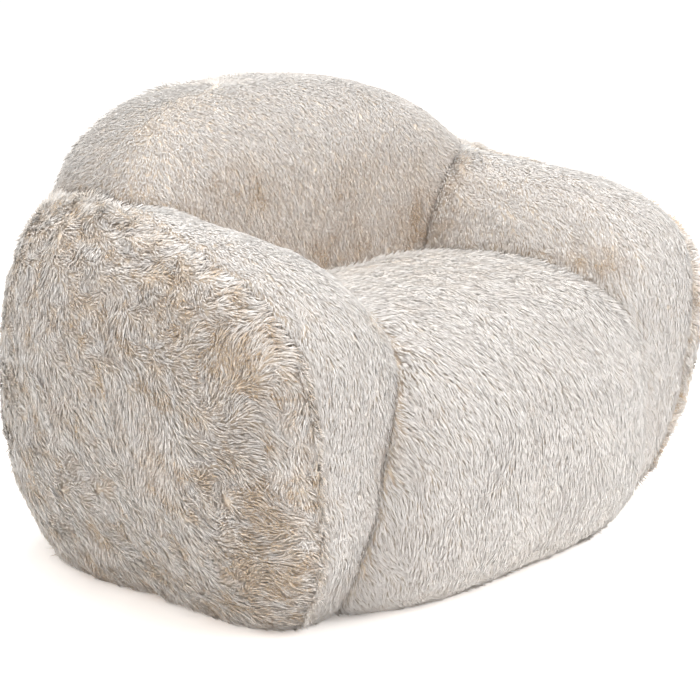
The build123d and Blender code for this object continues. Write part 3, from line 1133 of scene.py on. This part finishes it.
    def off_floor(self, locks: Socket) -> Socket:
        """Keeps the locks above the floor."""
        tree = self.tree
        place = add_node(tree, "GeometryNodeInputPosition").outputs[0]
        x, y, z = add_node(tree, "ShaderNodeSeparateXYZ", {0: place}).outputs
        above = reckoned(tree, "MAXIMUM", z, PILE_FLOOR)
        rested = add_node(tree, "ShaderNodeCombineXYZ", {0: x, 1: y, 2: above}).outputs[0]
        links = {"Geometry": locks, "Position": rested}
        return add_node(tree, "GeometryNodeSetPosition", links).outputs[0]

    def softened(self, panel: Socket, given: bpy.types.Node) -> Socket:
        """Turns the locks' normals towards the backing's, so that they shade as one coat."""
        tree = self.tree
        facing = add_node(tree, "GeometryNodeInputNormal").outputs[0]
        links = {0: given.outputs["Softness"], 4: facing, 5: self.named("skin")}
        mixed = add_node(tree, "ShaderNodeMix", links, data_type="VECTOR").outputs[1]
        links = {"Mesh": panel, "Custom Normal": vector_reckoned(tree, "NORMALIZE", mixed)}
        kind = "GeometryNodeSetMeshNormal"
        return add_node(tree, kind, links, mode="FREE", domain="POINT").outputs[0]

    def grow(
        self,
        backing: bpy.types.Object,
        locks: float,
        length: float,
        stray: float,
        softness: float,
        seed: int,
    ) -> None:
        """Grows the pile on a backing and makes the result its plain mesh.

        Args:
            backing: The panel's backing, with its lie and cover attributes and its share of tan,
                roots and painted shade.
            locks: Locks per square metre where the cover is whole.
            length: The pile's length against the usual.
            stray: How far single locks stray from the combing.
            softness: How far the locks shade as one surface, 0 to 1.
            seed: Fixes where the locks stand.
        """
        cover = np.empty(len(backing.data.vertices), np.float32)
        backing.data.attributes["cover"].data.foreach_get("value", cover)
        grown_area = sum(p.area * cover[list(p.vertices)].mean() for p in backing.data.polygons)
        cells = math.ceil(math.sqrt(CELL_SPARE * locks * grown_area))
        grown = backing.modifiers.new("pile", "NODES")
        grown.node_group = self.tree
        values = {
            "Locks per square metre": locks,
            "Length scale": length,
            "Stray": stray,
            "Softness": softness,
            "Atlas cells": float(cells),
            "Seed": seed,
        }
        for socket in self.tree.interface.items_tree:
            if socket.in_out == "INPUT" and socket.name in values:
                grown[socket.identifier] = values[socket.name]
        graph = bpy.context.evaluated_depsgraph_get()
        mesh = bpy.data.meshes.new_from_object(backing.evaluated_get(graph))
        backing.modifiers.remove(grown)
        mesh.name = backing.name
        backing.data = mesh


def clear_of_neighbours(
    form: Form, points: np.ndarray, neighbours: tuple[tuple[Form, str], ...], inset: float
) -> tuple[np.ndarray, np.ndarray]:
    """Moves points of one form out of its neighbours, towards its own middle.

    Args:
        form: The form that the points belong to.
        points: The points.
        neighbours: Each neighbour, and the axes along which to move out of it.
        inset: How far inside its own outer surface each neighbour is taken.

    Returns:
        Their new places, and which of them moved.
    """
    moved = np.zeros(len(points), bool)
    for neighbour, way in neighbours:
        core = points.copy()
        if "x" in way:
            core[:, 0] = 0.0
        if "y" in way:
            core[:, 1] = SEAT_CORE if isinstance(form, SeatForm) else BACK_CORE
        inside = partial(neighbour.holds, inset=inset - NEIGHBOUR_GAP)
        points, shifted = pulled_clear(points, inside, core)
        moved |= shifted
    return points, moved


def over_zip(points: np.ndarray, extra: float = 0.0) -> np.ndarray:
    """Lifts the points that lie in the room over the zip.

    Args:
        points: Places of a cover or a bag.
        extra: How much higher than the room they are lifted.

    Returns:
        Their new places.
    """
    half_length, half_width, height = ZIP_ROOM
    along = np.abs(points[:, 0]) < half_length
    across = np.abs(points[:, 1] - ZIP_LINE) < half_width
    lifted = points.copy()
    lifted[along & across, 2] = np.maximum(points[along & across, 2], height + extra)
    return lifted


@dataclass
class Cover:
    """One padded cover panel: its backing round a bag, and the pile on it."""

    name: str
    nodes: tuple[str, ...]
    form: Form
    combing: Combing
    rows: int
    columns: int
    seed: int
    clear_of: tuple[tuple[Form, str], ...] = ()
    hidden_by: tuple[Form, ...] = ()
    seam: SideSeam | None = None
    panel: Panel | None = None
    split: float | None = None
    front: bool = True
    core: tuple[float, float, float] = (0.0, 0.0, 0.0)
    locks: float = 118000.0
    stray: float = 0.07
    relief: float = 2.0 * MM
    softness: float = 0.9
    fill: float = 0.85

    def backing(self) -> bpy.types.Object:
        """Builds the closed backing with the attributes that the pile reads."""
        grid = ClosedGrid(self.rows, self.columns)
        points = self.form.surface(*grid.places(), BODY_INSET)
        mesh = mesh_from(self.name, points, grid.faces())
        facing_out(mesh)
        normals = outward(mesh)
        clumps = layered(self.combing.drawn_out(points, normals), CLUMPS, self.seed)
        swell = layered(points, SWELLS, self.seed) + self.relief * clumps
        if self.seam:
            swell -= self.seam.depth * beside(self.seam.off(points), self.seam.width)
        if self.split is not None:
            depth, width = SPLIT_VALLEY
            swell -= depth * beside(points[:, 1] - self.split, width)
        points, hidden = self.cleared(points + normals * swell[:, None])
        points[:, 2] = np.maximum(points[:, 2], FLOOR_REST)
        low = self.on_base(points)
        if isinstance(self.form, SeatForm):
            points = over_zip(points)
        reshape(mesh, points)
        normals = outward(mesh)
        for form in self.hidden_by:
            hidden = hidden | form.holds(points, COVERED_DEPTH)
        cover = np.where(hidden | low, 0.0, 1.0)
        lie = self.combing.directions(points, normals, self.crowded(points), self.seed * 10)
        # more tan in the dips between clumps: partly roots showing, partly painted shade
        undercoat = self.combing.undercoat(points, np.clip(-clumps, 0, 1), self.seed * 10)
        for name, kind, key, values in (
            ("cover", "FLOAT", "value", cover),
            ("undercoat", "FLOAT", "value", undercoat),
            ("along", "FLOAT", "value", np.zeros(len(points))),
            ("lie", "FLOAT_VECTOR", "vector", lie.ravel()),
            ("skin", "FLOAT_VECTOR", "vector", normals.ravel()),
        ):
            layer = mesh.attributes.new(name, kind, "POINT")
            layer.data.foreach_set(key, values.astype(np.float32))
        unroll(mesh, grid.unrolled() * BACKING_STRIP)
        return new_object(self.name, mesh)

    def on_base(self, points: np.ndarray) -> np.ndarray:
        """Tells which places lie low over the base panels, or by one of their corners."""
        level = points * (1.0, 1.0, 0.0) + (0.0, 0.0, FLOOR_REST)
        corner = np.hypot(np.abs(points[:, 0]) - BASE_CORNER[0], points[:, 1] - BASE_CORNER[1])
        over = self.form.holds(level, BASE_INSET) | (corner < CORNER_ROOM)
        return (points[:, 2] < BASE_REACH) & over

    def cleared(self, points: np.ndarray) -> tuple[np.ndarray, np.ndarray]:
        """Moves the backing out of its neighbours and to its own side of each seam.

        Args:
            points: The backing's vertices.

        Returns:
            Their new places, and which of them moved and so are hidden.
        """
        points, hidden = clear_of_neighbours(self.form, points, self.clear_of, BODY_INSET)
        past = self.past_seam()
        if past:
            before = points
            core = np.broadcast_to(np.array(self.core), points.shape)
            points, _ = pulled_clear(points, past, core)
            hidden |= np.linalg.norm(points - before, axis=1) > SEAM_TURN
        return points, hidden

    def crowded(self, points: np.ndarray) -> np.ndarray:
        """Gives how near each place is to a neighbour or to the panel's own seam, 0 to 1."""
        near = np.zeros(len(points))
        reaches = np.linspace(*CROWDED_REACHES, 6)
        for form in (*self.hidden_by, *(form for form, _ in self.clear_of)):
            held = [form.holds(points, -reach) for reach in reaches]
            near = np.maximum(near, np.mean(held, axis=0))
        share, width = SEAM_CROWDING
        if self.seam:
            near = np.maximum(near, share * beside(self.seam.off(points), width))
        if self.split is not None:
            near = np.maximum(near, share * beside(points[:, 1] - self.split, width))
        return near

    def past_seam(self) -> Callable[[np.ndarray], np.ndarray] | None:
        """Gives the test for places on the far side of the panel's seam, if it has one."""
        if self.seam and self.panel:
            seam, way = self.seam, 1 if self.panel is Panel.OUTER else -1
            return lambda p: seam.off(p) * way < NEIGHBOUR_GAP / 2
        if self.split is not None:
            split, way = self.split, -1 if self.front else 1
            return lambda p: (p[:, 1] - split) * way < NEIGHBOUR_GAP / 2
        return None

    def dress(self, pile: PileTree) -> bpy.types.Object:
        """Builds the panel, grows its pile and hands it to the frame.

        Args:
            pile: The tree that grows the pile.

        Returns:
            The finished piece.
        """
        piece = self.backing()
        pile.grow(
            piece, self.locks, self.combing.length, self.stray, self.softness, self.seed
        )
        triangles = sum(len(p.vertices) - 2 for p in piece.data.polygons)
        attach(piece, "chair")
        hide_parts(*self.nodes)
        log.info("%s: %d triangles", self.name, triangles)
        return piece


@dataclass
class BeadBag:
    """One bead bag: a woven liner full of beads, inside its cover."""

    name: str
    node: str
    form: Form
    finish: bpy.types.Material
    clear_of: tuple[tuple[Form, str], ...] = ()
    inset: float = 25 * MM
    ripple: float = 1.5 * MM
    ripple_size: float = 0.05
    rows: int = 44
    columns: int = 64

    def dress(self) -> bpy.types.Object:
        """Builds the bag and hands it to the frame.

        Returns:
            The finished piece.
        """
        grid = ClosedGrid(self.rows, self.columns)
        points = self.form.surface(*grid.places(), self.inset)
        mesh = mesh_from(self.name, points, grid.faces())
        facing_out(mesh)
        creased = -self.ripple * np.abs(soft_noise(points, self.ripple_size, len(self.name)))
        points = points + outward(mesh) * creased[:, None]
        clear = 2 * BODY_INSET - self.inset
        points, _ = clear_of_neighbours(self.form, points, self.clear_of, clear)
        points[:, 2] = np.maximum(points[:, 2], self.inset - BODY_INSET + FLOOR_REST)
        if isinstance(self.form, SeatForm):
            points = over_zip(points, BAG_OVER_ZIP)
        reshape(mesh, points)
        unroll(mesh, grid.unrolled())
        mesh.materials.append(self.finish)
        piece = new_object(self.name, mesh)
        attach(piece, "chair")
        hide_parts(self.node)
        log.info("%s: %d faces", self.name, len(mesh.polygons))
        return piece


# ---------------------------------------------------------------- sub-assemblies


@dataclass
class Arm:
    """One arm: outer side and band panels, sewn along the side seam, over a lined bead bag."""

    side: Side
    rows: int = 120
    columns: int = 210

    def covers(self, seat: SeatForm, back: BackForm) -> list[Cover]:
        """Gives the arm's two cover panels.

        Args:
            seat: The seat's form, which hides part of the band.
            back: The back's form, which hides the arm's rear end.

        Returns:
            The outer side and the band.
        """
        word = self.side.name.lower()
        sign = self.side.value
        form, seam = ArmForm(self.side), SideSeam(self.side)
        seed = 3 if self.side is Side.LEFT else 5
        outer = Combing(
            way=(0.0, -1.0, -0.62),
            lift=0.27,
            unruly=0.85,
            clump=0.42,
            whorls=(
                Whorl((sign * 0.56, -0.255, 0.435), 0.07, 2.6),
                Whorl((sign * 0.56, -0.10, 0.30), 0.09, -1.1),
                Whorl((sign * 0.50, -0.25, 0.20), 0.08, 1.3),
            ),
            tan_patches=(
                PartingAndShade((sign * 0.535, -0.29, 0.20), (0.06, 0.030, 0.05), 1.2),
                PartingAndShade((sign * 0.515, -0.265, 0.10), (0.06, 0.050, 0.06), 1.5),
                # tan at the cowlick: the coat parting, and painted shadow in the swirl
                PartingAndShade((sign * 0.56, -0.255, 0.435), (0.06, 0.040, 0.035), 1.7),
                PartingAndShade((sign * 0.53, -0.16, 0.51), (0.05, 0.07, 0.03), 0.4),
            ),
            # heavy tan on the outer side: partly its own tan streaks, partly painted shade for the
            # warmer tone of this shaded side
            grain=0.95,
        )
        band = Combing(
            way=(0.0, -0.55, -1.0),
            lift=0.2,
            unruly=0.35,
            clump=0.2,
            length=0.8,
            tan_patches=(
                PartingAndShade((sign * 0.273, -0.28, 0.465), (0.05, 0.06, 0.025), 0.9),
                # tan at the crease between band and back: partly painted shade in the crease
                PartingAndShade((sign * 0.27, 0.03, 0.50), (0.06, 0.05, 0.09), 0.6),
            ),
            grain=0.14,
        )
        shared = {
            "form": form,
            "rows": self.rows,
            "columns": self.columns,
            "seam": seam,
            "hidden_by": (back, seat),
        }
        return [
            Cover(
                f"{word}_arm_side",
                (f"{word}_arm_side_panel",),
                combing=outer,
                seed=seed,
                panel=Panel.OUTER,
                core=(sign * 0.47, 0.0, 0.33),
                stray=0.1,
                relief=5.2 * MM,
                softness=0.82,
                **shared,
            ),
            Cover(
                f"{word}_arm_wrap",
                (f"{word}_arm_band",),
                combing=band,
                seed=seed + 1,
                panel=Panel.BAND,
                core=(sign * 0.30, 0.0, 0.33),
                stray=0.06,
                **shared,
            ),
        ]


class Chair:
    """The whole chair, from its covers to the zip in its base."""

    def covers(self) -> list[Cover]:
        """Gives every cover panel."""
        seat, back = SeatForm(), BackForm()
        left, right = ArmForm(Side.LEFT), ArmForm(Side.RIGHT)
        made = Arm(Side.LEFT).covers(seat, back) + Arm(Side.RIGHT).covers(seat, back)
        made.append(
            Cover(
                "seat_cushion",
                ("seat_panel",),
                seat,
                Combing(
                    way=(0.12, -0.8, -1.0),
                    lift=0.2,
                    unruly=0.5,
                    clump=0.22,
                    length=0.95,
                    tan_patches=(
                        PartingAndShade((0.05, -0.15, 0.45), (0.2, 0.12, 0.1), 0.3),
                        PartingAndShade((0.0, 0.0, 0.46), (0.3, 0.04, 0.05), 0.35),
                    ),
                    grain=0.14,
                ),
                rows=120,
                columns=210,
                seed=11,
                clear_of=((back, "y"), (left, "x"), (right, "x")),
            )
        )
        inner = Combing(
            way=(0.05, 0.0, -1.0),
            lift=0.3,
            unruly=0.3,
            clump=0.15,
            length=0.55,
            tan_patches=(
                PartingAndShade((0.06, 0.07, 0.575), (0.15, 0.12, 0.05), 0.4),
                PartingAndShade((-0.20, 0.08, 0.60), (0.10, 0.12, 0.05), 0.6),
                PartingAndShade((-0.05, 0.06, 0.47), (0.25, 0.12, 0.05), 0.7),
                # tan at the crease between back and right arm: partly painted shade in the crease
                PartingAndShade((0.22, 0.05, 0.48), (0.05, 0.12, 0.08), 0.9),
            ),
            grain=0.22,
        )
        outer = Combing(way=(0.0, 0.2, -1.0), lift=0.24, unruly=0.6, clump=0.25, grain=0.08)
        for name, node, combing, front, seed in (
            ("back_cushion_front", "inner_back_panel", inner, True, 13),
            ("back_cushion_rear", "outer_back_panel", outer, False, 17),
        ):
            made.append(
                Cover(
                    name,
                    (node,),
                    back,
                    combing,
                    rows=100,
                    columns=170,
                    seed=seed,
                    clear_of=((left, "xy"), (right, "xy")),
                    hidden_by=(seat,),
                    split=0.348,
                    front=front,
                    core=(0.0, 0.2 if front else 0.45, 0.30),
                    locks=150000.0 if front else 90000.0,
                    relief=(1.2 if front else 2.0) * MM,
                    softness=0.94 if front else 0.88,
                )
            )
        return made

    def bead_bags(self) -> list[BeadBag]:
        """Gives the four bead bags."""
        weave = WovenCloth("liner_polyester", "ECEAE4", "C9C6BE", 0.8 * MM).make()
        seat, back = SeatForm(), BackForm()
        left, right = ArmForm(Side.LEFT), ArmForm(Side.RIGHT)
        sides = ((left, "x"), (right, "x"))
        return [
            BeadBag("seat_bag", "seat_bead_bag", seat, weave, ((back, "y"), *sides)),
            BeadBag("back_bag", "back_bead_bag", back, weave, ((left, "xy"), (right, "xy"))),
            BeadBag("left_arm_bag", "left_arm_bead_bag", left, weave),
            BeadBag("right_arm_bag", "right_arm_bead_bag", right, weave),
        ]

    def dress_base(self, nodes: dict[str, bpy.types.Object]) -> None:
        """Gives the base panels and the zip their finishes.

        Args:
            nodes: The frame's CAD nodes by name.
        """
        canvas = DottedCanvas().make()
        tape = WovenCloth("zip_tape_herringbone", "D9CFC0", "A89C8A", 1.1 * MM, 4 * MM).make()
        finishes = (
            (canvas, ("base_front_panel", "base_rear_panel")),
            (tape, ("zip_front_tape", "zip_rear_tape")),
            (
                MouldedAcetal().make(),
                ("zip_front_teeth", "zip_rear_teeth", "zip_top_stops", "zip_bottom_stop"),
            ),
            (PlatedZinc().make(), ("zip_slider", "zip_pull_tab")),
        )
        for material, names in finishes:
            for name in names:
                for slot in nodes[name].material_slots:
                    slot.material = material
                log.info("%s: %s", name, material.name)


@dataclass
class Studio:
    """White paper, large soft lights and the camera."""

    azimuth: float = -47.17
    elevation: float = 15.12
    distance: float = 3.522
    target: tuple[float, float, float] = (0.0, 0.0, 0.3072)
    lens: float = 107.3
    sensor: float = 36.0
    shift: tuple[float, float] = (-0.0165, 0.0005)
    ambient: float = 0.95
    behind: float = 1.12
    warmth: tuple[float, float, float, float] = (1.0, 0.972, 0.942, 1.0)
    paper_half: float = 9.0

    def build(self) -> None:
        """Sets up the floor, the lights and the camera."""
        scene = bpy.context.scene
        corners = [(-1, -1), (1, -1), (1, 1), (-1, 1)]
        places = [(x * self.paper_half, y * self.paper_half, -PAPER_DROP) for x, y in corners]
        paper = mesh_from("studio_floor", np.array(places), [(0, 1, 2, 3)])
        floor = new_object("studio_floor", paper)
        floor.data.materials.append(StudioPaper().make())
        world = bpy.data.worlds.new("studio_world")
        world.use_nodes = True
        sky = world.node_tree
        seen = add_node(sky, "ShaderNodeLightPath").outputs["Is Camera Ray"]
        strength = stretched(sky, seen, (0.0, 1.0), (self.ambient, self.behind))
        feed(sky, sky.nodes["Background"], {0: self.warmth, 1: strength})
        scene.world = world
        for name, place, size, power in (
            ("key_softbox", (1.3, -3.6, 3.0), 2.6, 148.0),
            ("side_softbox", (-2.6, 0.4, 3.4), 2.2, 46.0),
            ("top_softbox", (0.2, 0.2, 3.6), 2.4, 75.0),
        ):
            light = bpy.data.lights.new(name, "AREA")
            light.size = size
            light.energy = power
            lamp = bpy.data.objects.new(name, light)
            scene.collection.objects.link(lamp)
            lamp.location = place
            aim = Vector(self.target) - Vector(place)
            lamp.rotation_euler = aim.to_track_quat("-Z", "Y").to_euler()
        camera = bpy.data.objects.new("camera", bpy.data.cameras.new("camera"))
        scene.collection.objects.link(camera)
        a, e = math.radians(self.azimuth), math.radians(self.elevation)
        back = Vector((math.sin(a) * math.cos(e), -math.cos(a) * math.cos(e), math.sin(e)))
        camera.location = Vector(self.target) + back * self.distance
        camera.rotation_euler = (-back).to_track_quat("-Z", "Y").to_euler()
        camera.data.lens = self.lens
        camera.data.sensor_width = self.sensor
        camera.data.shift_x, camera.data.shift_y = self.shift
        scene.camera = camera
        scene.view_settings.view_transform = "Standard"


def main() -> None:
    """Builds the chair and its studio."""
    logging.basicConfig(level=logging.INFO, format="%(name)s: %(message)s")
    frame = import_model()
    chair = Chair()
    pile = PileTree(LockShapes().build(), PlushPile().make())
    for cover in chair.covers():
        cover.dress(pile)
    for bag in chair.bead_bags():
        bag.dress()
    chair.dress_base(frame["nodes"])
    Studio().build()


if __name__ == "__main__":
    main()
